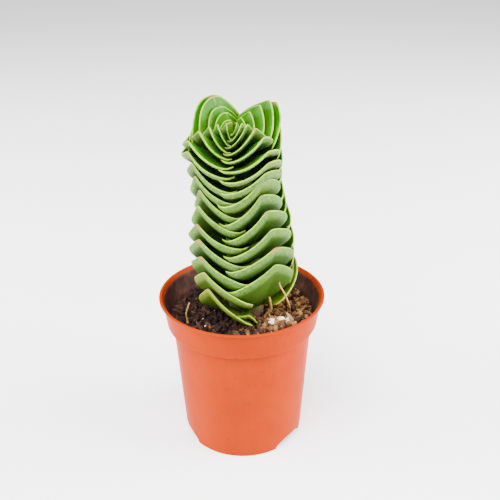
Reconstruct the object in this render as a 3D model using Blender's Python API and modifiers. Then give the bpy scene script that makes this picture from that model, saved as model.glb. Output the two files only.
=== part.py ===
"""A stacked-leaf crassula in a small orange nursery pot, as a Blender model.

The plant is one leafy stem: four ranks of folded leaves, a pair at each node and each pair a
quarter turn from the last, clasping a short stem. It stands in a plain hole in the potting mix,
which fills a thin plastic pot with a banded rim and a notched foot. Grains of perlite and bits
of dry straw lie in the mix.

Azimuths are degrees about +Z: 0 faces -Y, the front, and 90 faces +X, the right. The origin is
the centre of the pot's foot. Sizes are in millimetres and MM turns them into metres.
"""

import math
import random

import bmesh
import bpy
from mathutils import Vector, noise

MM = 0.001
GAP = 0.3  # clearance between two solids that touch on the real thing

# The pot
RIM_RADIUS = 27.5
POT_HEIGHT = 52.5
LIP_EDGE = 0.5  # height of the thin lip that stands out round the rim
BAND_TOP_RADIUS = 26.4
BAND_BOTTOM_RADIUS = 25.2
BAND_BOTTOM = 42.9
WALL_TOP_RADIUS = 23.3
WALL_TOP = 41.9
FOOT_RADIUS = 20.5
WALL = 0.8
FLOOR_UNDERSIDE = 4.2  # the floor is raised inside the foot ring
POT_STEPS = 56
NOTCH_AZIMUTHS = (52, 172, 292)
NOTCH_HALF_WIDTH = 6.8
NOTCH_HEIGHT = 3.0
DRAIN_RADIUS = 2.6
DRAIN_CIRCLE = 11.0

# The potting mix
MIX_TOP = 43.6
MIX_RISE_TO_RIGHT = 0.045  # millimetres up for each millimetre to the right
MIX_LUMP = 1.9
MIX_LUMP_SIZE = 3.8
MOUND = (10.0, -7.5, 6.5, 1.5)  # a heap at the front right: x, y, radius, height
MIX_EDGE = 44.0  # where it lies on the ledge inside the pot
MIX_LEDGE = (19.0, 23.0)  # it rises from its own height to that edge between these radii
MIX_RINGS = 12
MIX_SIDES = 40
HOLE_BOTTOM = 26.0

# The stem: height, centre in X, radius
STEM = (
    (26.5, 1.6, 5.0), (40, 1.5, 6.0), (55, 1.3, 6.0), (70, 0.8, 5.8), (82, 0.1, 5.4),
    (92, -1.0, 4.8), (99, -1.6, 3.8), (104, -1.8, 2.4), (106.5, -1.8, 1.0),
)
# How much the leaf planes slope up to the right and up to the back: height, to right, to back
TILT = (
    (30, 0.03, 0.0), (60, 0.04, 0.0), (80, 0.10, 0.0), (90, 0.12, 0.07), (100, 0.0, 0.24),
    (112, -0.05, 0.25),
)

# The leaves of each rank: number, height of the corners, azimuth, reach of the tip, rise of the tip.
# Even numbers stand front left and back right, odd ones front right and back left.
FRONT_LEFT = (
    (0, 47.8, -45, 16.0, 12.6), (2, 55.8, -44, 17.4, 11.2), (4, 63.3, -46, 17.7, 8.9),
    (8, 75.5, -46, 17.9, 8.4), (12, 85.2, -48, 14.3, 8.7), (16, 95.9, -51, 15.2, 7.7),
    (18, 101.0, -51, 16.7, 6.3), (20, 103.6, -52, 16.2, 6.4), (22, 104.8, -54, 12.2, 6.7),
    (24, 105.4, -56, 8.5, 6.2), (28, 106.8, -58, 2.6, 4.0),
)
FRONT_RIGHT = (
    (1, 52.5, 34, 17.0, 9.2), (3, 60.4, 33, 17.8, 9.0), (5, 67.7, 32, 18.6, 7.9), (9, 78.2, 29, 17.2, 8.4),
    (11, 83.3, 26, 16.5, 8.4), (13, 90.2, 28, 17.0, 6.9), (17, 100.2, 34, 18.0, 6.0),
    (19, 103.3, 36, 17.4, 6.0), (21, 104.9, 38, 14.4, 7.2), (23, 105.6, 38, 10.4, 7.4),
    (25, 106.2, 37, 6.8, 6.6), (29, 107.4, 36, 1.8, 3.6),
)
BACK_RIGHT = (
    (0, 52.4, 108, 17.4, 9.8), (2, 56.8, 128, 16.6, 8.8), (4, 63.3, 132, 17.0, 8.6),
    (8, 75.5, 131, 16.6, 8.4), (12, 85.2, 129, 15.0, 8.7), (16, 95.9, 128, 15.6, 9.0),
    (20, 103.0, 128, 16.2, 9.4), (22, 104.4, 128, 13.6, 9.3), (24, 105.4, 128, 9.8, 7.8),
    (26, 106.2, 128, 6.0, 5.8), (28, 107.0, 128, 2.8, 4.0),
)
BACK_LEFT = (
    (1, 54.5, -148, 16.0, 9.0), (5, 67.7, -148, 17.0, 8.4), (9, 78.2, -150, 16.4, 8.4),
    (13, 88.6, -150, 15.0, 8.8), (17, 98.6, -144, 13.6, 11.0), (19, 101.6, -140, 11.0, 13.8),
    (21, 103.1, -139, 9.4, 12.2), (23, 104.4, -139, 6.6, 8.6), (25, 105.5, -139, 3.6, 6.7),
    (27, 106.4, -139, 2.0, 3.9), (29, 107.4, -139, 1.2, 2.4),
)
# Where a leaf's corners are: number, radius, the same for the two corners that meet at the right, and for
# the left corner of a back left leaf
CORNER = (
    (0, 14.6, 14.0, 14.6), (2, 15.0, 15.0, 15.0), (6, 15.8, 15.4, 15.8), (11, 13.7, 12.9, 13.7),
    (14, 14.1, 12.8, 14.1), (16, 14.4, 13.4, 14.0), (19, 14.8, 12.9, 12.6), (21, 13.0, 10.9, 10.2),
    (23, 10.8, 10.0, 7.6), (25, 8.4, 7.4, 5.8), (29, 3.2, 3.0, 2.6),
)
LEAVES = 28
HALF_SPAN = 53  # degrees from a leaf's tip to either corner
LOW_SPAN = 65  # the same for the lowest leaf on the right, which hugs the others
SHORT_LEAF = ((0, 50.2, 2, 12.6, 1.0),)  # a withered end under the lowest leaves in front
SHORT_LEAF_SPAN = 14
# How far below its corners a blade leaves the stem: leaf number, depth
CUP_DEPTH = ((0, 1.4), (1, 3.0), (2, 5.0), (3, 12.0), (5, 9.0), (8, 6.5), (29, 6.0))
# How the margin falls from tip to corner: leaf number, crown, slope. A crown of 1 has a pointed tip and
# more is rounder; a slope of 1 then falls straight, more hangs like a rope and less bulges like an arch.
LEFT_HALF = ((0, 1.0, 1.0), (3, 1.0, 1.1), (10, 1.0, 2.0), (20, 1.0, 1.9), (29, 1.0, 1.6))
RIGHT_HALF = ((0, 1.1, 1.0), (5, 1.2, 1.0), (10, 1.5, 1.0), (15, 1.3, 1.0), (19, 1.1, 1.1), (29, 1.0, 1.5))
BACK_LEFT_INNER = (
    (0, 1.0, 1.0), (3, 1.0, 1.1), (10, 1.0, 1.6), (15, 1.2, 1.2), (19, 1.9, 0.75), (29, 1.7, 0.7),
)
BACK_LEFT_OUTER = (
    (0, 1.0, 1.0), (3, 1.0, 1.1), (10, 1.0, 1.6), (15, 1.2, 1.2), (19, 2.6, 0.6), (29, 2.0, 0.55),
)
BACK_RIGHT_LEAF = (
    (0, 1.0, 1.0), (3, 1.0, 1.1), (10, 1.0, 2.0), (15, 1.0, 1.6), (19, 1.1, 0.85), (29, 1.1, 0.85),
)
# How far the right corner of a front right leaf hangs: leaf number, drop
RIGHT_DROP = (
    (3, 2.8), (5, 2.2), (9, 0.0), (11, 0.2), (13, 2.2), (15, 3.0), (17, 4.6), (19, 3.8), (21, 1.6),
    (25, 0.0),
)
# How a leaf's reach changes from tip to corner at the front, right and left: leaf number, power
FLARE = 2.2
RIGHT_FLARE = ((3, 1.8), (9, 1.6), (15, 1.0))
LEFT_FLARE = ((12, 2.2), (18, 1.0))
BAND = 0.9  # height of the upturned margin, as a share of the space between two leaves of a rank
MARGIN_SPACING = (2.2, 5.6)  # the spaces that this share is taken of are kept between these
ROOT_SUNK = 1.6
BLADE_AT_STEM = 2.2
BLADE_AT_MARGIN = 0.9
THINNEST_BLADE = 0.62
ACROSS = (-1.0, -0.78, -0.42, 0.0, 0.42, 0.78, 1.0)
ALONG = (0.0, 0.42, 0.78, 1.0)

# Loose bits in the mix: x, y, size for a grain, and points of the middle line for a straw
PERLITE = ((9.6, -8.5, 1.5), (12.6, -7.4, 1.7), (15.3, -6.2, 1.4), (13.6, -4.4, 1.1), (-4.5, -15.6, 1.1))
STRAWS = {
    "straw_stub": (
        0.5,
        (
            (8.1, -5.2, 42.0), (7.8, -5.7, 45.0), (8.0, -6.1, 47.2), (9.3, -7.9, 49.8),
            (9.5, -8.9, 51.4), (9.2, -10.1, 53.8), (8.9, -11.2, 56.6),
        ),
    ),
    "straw_stalk": (
        0.35,
        (
            (-18.0, -4.9, 40.6), (-18.1, -5.2, 44.6), (-18.4, -5.4, 46.6), (-18.2, -5.5, 48.2),
            (-17.1, -5.6, 51.6),
        ),
    ),
    "root_fibre": (
        0.3,
        (
            (16.4, -0.6, 42.0), (16.0, -2.0, 46.6), (15.6, -5.6, 50.0), (15.15, -9.0, 53.0),
            (13.7, -10.5, 57.4), (12.15, -11.8, 61.0), (11.9, -13.2, 62.9),
        ),
    ),
}
CHIP_CENTRE = (19.6, 2.4, 45.3)
CHIP_SIZE = (6.0, 1.4, 1.0)
CHIP_TURN = -8.0

COLOURS = {
    "pot": ((0.85, 0.20, 0.035), 0.42),
    "potting_mix": ((0.07, 0.035, 0.02), 0.95),
    "leafy_stem": ((0.17, 0.33, 0.09), 0.45),
    "perlite": ((0.75, 0.70, 0.62), 0.9),
    "straw": ((0.50, 0.34, 0.16), 0.8),
}


def clear_scene():
    for thing in list(bpy.data.objects):
        bpy.data.objects.remove(thing, do_unlink=True)


def new_collection(name):
    made = bpy.data.collections.new(name)
    bpy.context.scene.collection.children.link(made)
    return made


def material(name):
    colour, roughness = COLOURS[name]
    made = bpy.data.materials.new(name)
    made.use_nodes = True
    shader = made.node_tree.nodes["Principled BSDF"]
    shader.inputs["Base Color"].default_value = (*colour, 1)
    shader.inputs["Roughness"].default_value = roughness
    shader.inputs["Metallic"].default_value = 0
    return made


def object_from(name, shape, home, finish=None):
    """An object from a bmesh in millimetres, scaled to metres."""
    bmesh.ops.scale(shape, vec=(MM, MM, MM), verts=shape.verts)
    bmesh.ops.recalc_face_normals(shape, faces=shape.faces)
    mesh = bpy.data.meshes.new(name)
    shape.to_mesh(mesh)
    shape.free()
    made = bpy.data.objects.new(name, mesh)
    home.objects.link(made)
    if finish:
        mesh.materials.append(finish)
    return made


def apply_modifiers(thing):
    """Replaces the object's mesh with its evaluated one."""
    graph = bpy.context.evaluated_depsgraph_get()
    mesh = bpy.data.meshes.new_from_object(thing.evaluated_get(graph))
    thing.modifiers.clear()
    thing.data = mesh
    return thing


def keep_outer_skin(thing):
    """Drops the small closed skins that a union leaves where pieces pinch a pocket between them."""
    shape = bmesh.new()
    shape.from_mesh(thing.data)
    unseen = set(shape.faces)
    skins = []
    while unseen:
        queue = [unseen.pop()]
        skin = list(queue)
        while queue:
            for edge in queue.pop().edges:
                for face in edge.link_faces:
                    if face in unseen:
                        unseen.remove(face)
                        queue.append(face)
                        skin.append(face)
        skins.append(skin)
    skins.sort(key=len)
    spare = [face for skin in skins[:-1] for face in skin]
    bmesh.ops.delete(shape, geom=spare, context="FACES")
    bmesh.ops.triangulate(shape, faces=shape.faces)
    shape.to_mesh(thing.data)
    shape.free()
    return thing


def smooth(thing, angle=35):
    thing.data.shade_smooth()
    thing.data.set_sharp_from_angle(angle=math.radians(angle))


def boolean(thing, operation, other):
    """Cuts or joins with one object or with a collection of them."""
    cut = thing.modifiers.new(operation.lower(), "BOOLEAN")
    cut.operation = operation
    cut.solver = "EXACT"
    if isinstance(other, bpy.types.Collection):
        cut.operand_type = "COLLECTION"
        cut.collection = other
    else:
        cut.object = other
    return cut


def hide_cutter(thing):
    thing.hide_render = True
    thing.display_type = "WIRE"
    return thing


def around(azimuth, radius, height):
    """A point at an azimuth in degrees from the front."""
    turn = math.radians(azimuth)
    return Vector((radius * math.sin(turn), -radius * math.cos(turn), height))


def read_curve(rows, at, column):
    """A column of a table read at a value, on a smooth curve through its rows that adds no bumps."""
    if at <= rows[0][0] or len(rows) == 1:
        return rows[0][column]
    if at >= rows[-1][0]:
        return rows[-1][column]
    steps = [(b[0] - a[0], (b[column] - a[column]) / (b[0] - a[0])) for a, b in zip(rows, rows[1:])]
    i = max(n for n, row in enumerate(rows) if row[0] <= at)

    def slope(n):
        if n == 0 or n == len(rows) - 1:
            return steps[0][1] if n == 0 else steps[-1][1]
        (w0, s0), (w1, s1) = steps[n - 1], steps[n]
        return 0.0 if s0 * s1 <= 0 else (w0 + w1) * s0 * s1 / (w1 * s0 + w0 * s1)

    width = steps[i][0]
    u = (at - rows[i][0]) / width
    start, end = rows[i][column], rows[i + 1][column]
    return (
        (2 * u**3 - 3 * u**2 + 1) * start
        + (u**3 - 2 * u**2 + u) * width * slope(i)
        + (3 * u**2 - 2 * u**3) * end
        + (u**3 - u**2) * width * slope(i + 1)
    )


# Pot


def pot_profile():
    """The section of the wall, from the rim down the outside, under the floor and up the inside."""
    inner_floor = FLOOR_UNDERSIDE + WALL
    lip_inner = RIM_RADIUS - 0.9
    return (
        (RIM_RADIUS - 0.15, POT_HEIGHT),
        (RIM_RADIUS, POT_HEIGHT - 0.15),
        (RIM_RADIUS, POT_HEIGHT - LIP_EDGE),
        (BAND_TOP_RADIUS, POT_HEIGHT - 2 * LIP_EDGE),
        (BAND_BOTTOM_RADIUS, BAND_BOTTOM),
        (BAND_BOTTOM_RADIUS - 0.5, BAND_BOTTOM - 0.6),
        (WALL_TOP_RADIUS + 0.2, WALL_TOP + 0.1),
        (WALL_TOP_RADIUS, WALL_TOP - 0.4),
        (FOOT_RADIUS, 0.2),
        (FOOT_RADIUS - 0.2, 0.0),
        (FOOT_RADIUS - WALL, 0.0),
        (FOOT_RADIUS - WALL + 0.15, FLOOR_UNDERSIDE),
        (0.0, FLOOR_UNDERSIDE),
        (0.0, inner_floor),
        (FOOT_RADIUS - 0.6, inner_floor),
        (WALL_TOP_RADIUS - WALL, WALL_TOP - 0.2),
        (WALL_TOP_RADIUS - WALL + 0.3, WALL_TOP + 0.6),
        (BAND_BOTTOM_RADIUS - WALL, BAND_BOTTOM + 0.5),
        (BAND_TOP_RADIUS - WALL, POT_HEIGHT - 1.4),
        (lip_inner, POT_HEIGHT),
    )


def build_pot(home, tools, finish):
    shape = bmesh.new()
    corners = [shape.verts.new((radius, 0, height)) for radius, height in pot_profile()]
    for a, b in zip(corners, corners[1:] + corners[:1]):
        if a.co.x > 0 or b.co.x > 0:
            shape.edges.new((a, b))
    bmesh.ops.scale(shape, vec=(MM, MM, MM), verts=shape.verts)
    mesh = bpy.data.meshes.new("pot")
    shape.to_mesh(mesh)
    shape.free()
    mesh.materials.append(finish)
    pot = bpy.data.objects.new("pot", mesh)
    home.objects.link(pot)
    turn = pot.modifiers.new("turn", "SCREW")
    turn.axis = "Z"
    turn.steps = POT_STEPS
    turn.render_steps = POT_STEPS
    turn.use_merge_vertices = True
    turn.merge_threshold = 0.00001
    apply_modifiers(pot)
    for number, azimuth in enumerate(NOTCH_AZIMUTHS):
        boolean(pot, "DIFFERENCE", notch_cutter(f"notch_cutter_{number + 1}", azimuth, tools))
        boolean(pot, "DIFFERENCE", drain_cutter(f"drain_cutter_{number + 1}", azimuth, tools))
    smooth(apply_modifiers(pot))
    return pot


def notch_cutter(name, azimuth, tools):
    """A flattened rod that lies across the foot ring, so the notch is a low arch."""
    shape = bmesh.new()
    bmesh.ops.create_cone(shape, cap_ends=True, segments=24, radius1=1, radius2=1, depth=6)
    bmesh.ops.scale(shape, vec=(NOTCH_HEIGHT, NOTCH_HALF_WIDTH, 1), verts=shape.verts)
    for corner in shape.verts:
        corner.co = Vector((corner.co.z, corner.co.y, corner.co.x))
    cutter = hide_cutter(object_from(name, shape, tools))
    cutter.location = around(azimuth, FOOT_RADIUS, 0) * MM
    cutter.rotation_euler.z = math.radians(azimuth - 90)
    return cutter


def drain_cutter(name, azimuth, tools):
    shape = bmesh.new()
    size = {"radius1": DRAIN_RADIUS, "radius2": DRAIN_RADIUS, "depth": 4}
    bmesh.ops.create_cone(shape, cap_ends=True, segments=20, **size)
    cutter = hide_cutter(object_from(name, shape, tools))
    cutter.location = around(azimuth, DRAIN_CIRCLE, FLOOR_UNDERSIDE + WALL / 2) * MM
    return cutter


# Potting mix


def mix_height(x, y):
    """The lumpy top of the mix, higher on the right where it was pushed against the plant."""
    lump = noise.noise(Vector((x, y, 0)) / MIX_LUMP_SIZE)
    far = math.hypot(x - MOUND[0], y - MOUND[1]) / MOUND[2]
    height = MIX_TOP + MIX_RISE_TO_RIGHT * x + MIX_LUMP * lump + MOUND[3] * math.exp(-far * far)
    start, end = MIX_LEDGE
    out = min(1.0, max(0.0, (math.hypot(x, y) - start) / (end - start)))
    return height + (max(height, MIX_EDGE) - height) * out * out * (3 - 2 * out)


def build_mix(home, tools, finish):
    """A plug that fills the pot and lies on its inner ledge, with its top raised into lumps."""
    floor = FLOOR_UNDERSIDE + WALL + GAP
    top_radius = BAND_BOTTOM_RADIUS - WALL - 2 * GAP
    neck_radius = WALL_TOP_RADIUS - WALL - 1.8 * GAP
    bottom_radius = FOOT_RADIUS - 0.6 - 2 * GAP
    shape = bmesh.new()
    rings = []
    for step in range(MIX_RINGS):
        radius = top_radius * (step + 1) / MIX_RINGS
        rings.append([mix_point(radius, side) for side in range(MIX_SIDES)])
    for radius, height in ((neck_radius, WALL_TOP), (bottom_radius, floor)):
        rings.append([around(360 * side / MIX_SIDES, radius, height) for side in range(MIX_SIDES)])
    rows = [[shape.verts.new(point) for point in ring] for ring in rings]
    centre = shape.verts.new((0, 0, mix_height(0, 0)))
    base = shape.verts.new((0, 0, floor))
    for side in range(MIX_SIDES):
        after = (side + 1) % MIX_SIDES
        shape.faces.new((centre, rows[0][side], rows[0][after]))
        shape.faces.new((base, rows[-1][after], rows[-1][side]))
        for inner, outer in zip(rows, rows[1:]):
            shape.faces.new((inner[side], outer[side], outer[after], inner[after]))
    bmesh.ops.triangulate(shape, faces=shape.faces)
    mix = object_from("potting_mix", shape, home, finish)
    boolean(mix, "DIFFERENCE", stem_hole_cutter(tools))
    return mix


def mix_point(radius, side):
    point = around(360 * side / MIX_SIDES, radius, 0)
    point.z = mix_height(point.x, point.y)
    return point


def stem_hole_cutter(tools):
    """The plain hole that the stem stands in."""
    shape = bmesh.new()
    rows = [(HOLE_BOTTOM, STEM[0][1], STEM[0][2] + GAP)]
    rows += [(height, x, radius + GAP) for height, x, radius in STEM[1:3]]
    loft_rings(shape, rows, 20)
    return hide_cutter(object_from("stem_hole_cutter", shape, tools))


def loft_rings(shape, rows, sides):
    """A closed round column through rings at (height, centre in X, radius)."""
    rings = []
    for height, x, radius in rows:
        ring = [around(360 * side / sides, radius, height) + Vector((x, 0, 0)) for side in range(sides)]
        rings.append([shape.verts.new(point) for point in ring])
    for lower, upper in zip(rings, rings[1:]):
        for side in range(sides):
            after = (side + 1) % sides
            shape.faces.new((lower[side], lower[after], upper[after], upper[side]))
    shape.faces.new(list(reversed(rings[0])))
    shape.faces.new(rings[-1])


# Leafy stem


def leaf_settings(rank, number):
    """What one leaf's shape is worked out from."""
    height, azimuth, reach, rise = (read_curve(rank, number, column) for column in (1, 2, 3, 4))
    spacing = read_curve(rank, number + 1, 1) - read_curve(rank, number - 1, 1)
    age = min(1.0, reach / 12)
    left_half = {BACK_LEFT: BACK_LEFT_INNER, BACK_RIGHT: BACK_RIGHT_LEAF}.get(rank, LEFT_HALF)
    right_half = {BACK_LEFT: BACK_LEFT_OUTER, FRONT_RIGHT: RIGHT_HALF}.get(rank, left_half)
    at_right, at_left = (read_curve(flare, number, 1) for flare in (RIGHT_FLARE, LEFT_FLARE))
    return {
        "height": height,
        "azimuth": azimuth,
        "reach": reach,
        "rise": rise,
        "span": LOW_SPAN if rank is BACK_RIGHT and number == 0 else HALF_SPAN,
        "corners": (
            read_curve(CORNER, number, 2 if rank is BACK_RIGHT else 1),
            read_curve(CORNER, number, {FRONT_RIGHT: 2, BACK_LEFT: 3}.get(rank, 1)),
        ),
        "flare": (
            {BACK_RIGHT: at_right, FRONT_LEFT: at_left}.get(rank, FLARE),
            {FRONT_RIGHT: at_right, BACK_LEFT: at_left}.get(rank, FLARE),
        ),
        "band": BAND * max(MARGIN_SPACING[0], min(spacing, MARGIN_SPACING[1])),
        "depth": read_curve(CUP_DEPTH, number, 1) * (0.45 + 0.55 * age),
        "root": max(0.5, min(read_stem(height)[1] - ROOT_SUNK, 0.4 * reach)),
        "halves": [
            [read_curve(half, number, column) for column in (1, 2)] for half in (left_half, right_half)
        ],
        "drop": read_curve(RIGHT_DROP, number, 1) if rank is FRONT_RIGHT else 0.0,
        "thick": 0.65 + 0.35 * age,
    }


def read_stem(height):
    """Centre in X and radius of the stem at a height."""
    return read_curve(STEM, height, 1), read_curve(STEM, height, 2)


def leaf_axes(height):
    """Origin, right, back and up of the leaf plane at a height."""
    up = Vector((-read_curve(TILT, height, 1), -read_curve(TILT, height, 2), 1)).normalized()
    right = Vector((0, 1, 0)).cross(up).normalized()
    return Vector((read_stem(height)[0], 0, height)), right, up.cross(right), up


def margin(leaf, across):
    """Radius and height of the free edge: a roof shape with its ridge at the tip."""
    side = abs(across)
    right = across > 0
    crown, slope = leaf["halves"][right]
    radius = leaf["reach"] + (leaf["corners"][right] - leaf["reach"]) * side ** leaf["flare"][right]
    lift = leaf["rise"] * (1 - side**crown) ** slope + 0.5 * max(0.0, (side - 0.85) / 0.15)
    return radius, lift - right * leaf["drop"] * side**2


def leaf_section(leaf, across, along, face):
    """Radius and height of a point of the blade: face is 1 on the inside, -1 on the outside."""
    radius, lift = margin(leaf, across)
    side = abs(across)
    band = leaf["band"] * (1 - 0.3 * side - 0.3 * side**4)
    start = Vector((leaf["root"], -leaf["depth"]))
    bend, end = Vector((radius, lift - band)), Vector((radius, lift))
    middle = (1 - along) ** 2 * start + 2 * along * (1 - along) * bend + along**2 * end
    run = (1 - along) * (bend - start) + along * (end - bend)
    normal = Vector((-run.y, run.x)).normalized()
    thick = (BLADE_AT_STEM + (BLADE_AT_MARGIN - BLADE_AT_STEM) * along) * leaf["thick"] * (1 - 0.3 * side**2)
    return middle + normal * face * max(thick, THINNEST_BLADE) / 2


def leaf_point(leaf, across, along, face):
    radius, lift = leaf_section(leaf, across, along, face)
    origin, right, back, up = leaf_axes(leaf["height"])
    flat = around(leaf["azimuth"] + leaf["span"] * across, radius, 0)
    return origin + right * flat.x + back * flat.y + up * lift


def loft_leaf(shape, leaf):
    """One closed blade: the same loop of points at each station from corner to corner."""
    loop = [(along, -1) for along in ALONG] + [(along, 1) for along in reversed(ALONG)]
    rings = [[shape.verts.new(leaf_point(leaf, across, *place)) for place in loop] for across in ACROSS]
    count = len(loop)
    for left, right in zip(rings, rings[1:]):
        for i in range(count):
            j = (i + 1) % count
            a, b, c, d = left[i], right[i], right[j], left[j]
            outside = i < count // 2 - 1
            corners = ((a, b, c), (a, c, d)) if outside else ((a, b, d), (b, c, d))
            for triangle in corners:
                shape.faces.new(triangle)
    for ring, flip in ((rings[0], False), (rings[-1], True)):
        for i in range(count // 2 - 1):
            face = (ring[i], ring[i + 1], ring[count - 2 - i], ring[count - 1 - i])
            shape.faces.new(face[::-1] if flip else face)


def all_leaves():
    """Every leaf from the soil up, by the pair it belongs to."""
    for number in range(LEAVES):
        ranks = (FRONT_LEFT, BACK_RIGHT) if number % 2 == 0 else (FRONT_RIGHT, BACK_LEFT)
        for rank in ranks:
            if number == 1 and rank is FRONT_RIGHT:
                continue  # this one has withered away down to the short end below
            yield leaf_settings(rank, number)
    withered = leaf_settings(SHORT_LEAF, 0)
    withered.update(span=SHORT_LEAF_SPAN, corners=(12.4, 13.2), drop=2.6, band=2.4, depth=2.6)
    yield withered


def build_leafy_stem(home, finish):
    shape = bmesh.new()
    loft_rings(shape, STEM, 14)
    stem = object_from("leafy_stem", shape, home, finish)
    repeats = new_collection("leaves")
    for count, leaf in enumerate(all_leaves()):
        shape = bmesh.new()
        loft_leaf(shape, leaf)
        object_from(f"leaf_{count}", shape, repeats)
    boolean(stem, "UNION", repeats).solver = "MANIFOLD"
    keep_outer_skin(apply_modifiers(stem))
    for leaf in list(repeats.objects):
        bpy.data.objects.remove(leaf, do_unlink=True)
    bpy.data.collections.remove(repeats)
    smooth(stem, 40)
    return stem


# Loose bits in the mix


def grain_shape(size, seed, extra=0.0):
    """A rough rounded grain; extra makes the larger copy that cuts its seat."""
    shape = bmesh.new()
    bmesh.ops.create_icosphere(shape, subdivisions=1, radius=1)
    draw = random.Random(seed)
    for corner in shape.verts:
        rough = draw.uniform(0.82, 1.12)
        corner.co = corner.co.normalized() * (size * rough + extra)
        corner.co.z *= 0.8
    return shape


def straw_object(name, radius, points, home, finish=None):
    """A bent straw: a round tube along a smooth line through its points."""
    line = bpy.data.curves.new(name, "CURVE")
    line.dimensions = "3D"
    line.bevel_depth = radius * MM
    line.bevel_resolution = 1
    line.use_fill_caps = True
    path = line.splines.new("POLY")
    path.points.add(len(points) - 1)
    for knot, place in zip(path.points, points):
        knot.co = (*(value * MM for value in place), 1)
    curve = bpy.data.objects.new(name + "_line", line)
    home.objects.link(curve)
    graph = bpy.context.evaluated_depsgraph_get()
    mesh = bpy.data.meshes.new_from_object(curve.evaluated_get(graph))
    bpy.data.objects.remove(curve, do_unlink=True)
    shape = bmesh.new()
    shape.from_mesh(mesh)
    bmesh.ops.remove_doubles(shape, verts=shape.verts, dist=0.00001)
    bmesh.ops.recalc_face_normals(shape, faces=shape.faces)
    shape.to_mesh(mesh)
    shape.free()
    made = bpy.data.objects.new(name, mesh)
    home.objects.link(made)
    mesh.materials.clear()
    if finish:
        mesh.materials.append(finish)
    return made


def build_perlite(home, tools, mix, finish):
    for number, (x, y, size) in enumerate(PERLITE):
        place = Vector((x, y, mix_height(x, y) + 0.3 * size)) * MM
        grain = object_from(f"perlite_grain_{number + 1}", grain_shape(size, number), home, finish)
        seat = hide_cutter(object_from(f"grain_seat_{number + 1}", grain_shape(size, number, GAP), tools))
        grain.location = seat.location = place
        smooth(grain, 80)
        boolean(mix, "DIFFERENCE", seat)


def build_straws(home, tools, mix, finish):
    for name, (radius, points) in STRAWS.items():
        smooth(straw_object(name, radius, points, home, finish), 50)
        deeper = (Vector(points[0]) - Vector((0, 0, GAP)),) + points[1:]
        seat = hide_cutter(straw_object(name + "_seat", radius + GAP, deeper, tools))
        boolean(mix, "DIFFERENCE", seat)


def chip_shape(extra=0.0):
    """A splinter with chamfered edges."""
    shape = bmesh.new()
    bmesh.ops.create_cube(shape, size=1)
    size = [side + 2 * extra for side in CHIP_SIZE]
    bmesh.ops.scale(shape, vec=size, verts=shape.verts)
    bmesh.ops.bevel(shape, geom=shape.edges, offset=0.25, segments=1, affect="EDGES")
    return shape


def build_chip(home, tools, mix, finish):
    chip = object_from("wood_splinter", chip_shape(), home, finish)
    seat = hide_cutter(object_from("splinter_seat", chip_shape(GAP), tools))
    for thing in (chip, seat):
        thing.location = Vector(CHIP_CENTRE) * MM
        thing.rotation_euler = (0, math.radians(3), math.radians(CHIP_TURN))
    boolean(mix, "DIFFERENCE", seat)


def main():
    clear_scene()
    home = new_collection("potted_crassula")
    tools = new_collection("cutters")
    build_pot(home, tools, material("pot"))
    mix = build_mix(home, tools, material("potting_mix"))
    build_leafy_stem(home, material("leafy_stem"))
    build_perlite(home, tools, mix, material("perlite"))
    straw = material("straw")
    build_straws(home, tools, mix, straw)
    build_chip(home, tools, mix, straw)
    smooth(apply_modifiers(mix), 60)


main()
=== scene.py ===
# %% [markdown]
# # A stacked-leaf crassula in a nursery pot
# The plant is a column of folded leaves, four ranks of them round a short stem, in a thin plastic
# pot of peaty mix. The measured model gives each piece its place. Here every piece gets the fine
# surface that shows up close: fleshy leaves with mealy backs, moulded plastic and crumbly mix.

# %% Load the measured model
import math
import random

import bmesh
import bpy
import numpy as np
from mathutils import Matrix, Vector, noise


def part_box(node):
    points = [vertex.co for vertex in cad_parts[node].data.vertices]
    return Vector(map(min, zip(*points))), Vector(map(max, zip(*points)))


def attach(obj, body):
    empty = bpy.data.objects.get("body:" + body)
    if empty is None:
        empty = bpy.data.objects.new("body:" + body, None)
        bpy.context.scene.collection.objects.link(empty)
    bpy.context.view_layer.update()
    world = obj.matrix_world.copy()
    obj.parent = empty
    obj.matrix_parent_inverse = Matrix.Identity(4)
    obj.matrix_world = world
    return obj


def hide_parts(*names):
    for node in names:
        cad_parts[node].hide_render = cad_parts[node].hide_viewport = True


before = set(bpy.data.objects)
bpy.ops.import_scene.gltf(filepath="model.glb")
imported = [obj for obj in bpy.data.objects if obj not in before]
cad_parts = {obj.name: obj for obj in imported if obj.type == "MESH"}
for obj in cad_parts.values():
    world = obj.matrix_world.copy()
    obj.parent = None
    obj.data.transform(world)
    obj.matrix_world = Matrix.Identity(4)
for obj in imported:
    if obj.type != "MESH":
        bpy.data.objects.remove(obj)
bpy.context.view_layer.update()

MM = 0.001
print("nodes:", ", ".join(sorted(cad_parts)))

# %% [markdown]
# ## Camera
# The photograph looks down on the pot by about 25 degrees from close by, with a lens that takes in
# about 41 degrees. The place, the tilt and the lens were worked out from the pot's round rim, band
# and foot. They come first, so that every later piece can be judged from the same spot.

# %% Camera
CAMERA_AT = (2.85, -196.2, 161.6)
LOOK_DOWN = 0.4455  # radians below level
ROLL = -0.0085
FOCAL_PIXELS = 671.3
FRAME_PIXELS = 500
SENSOR = 36

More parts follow.
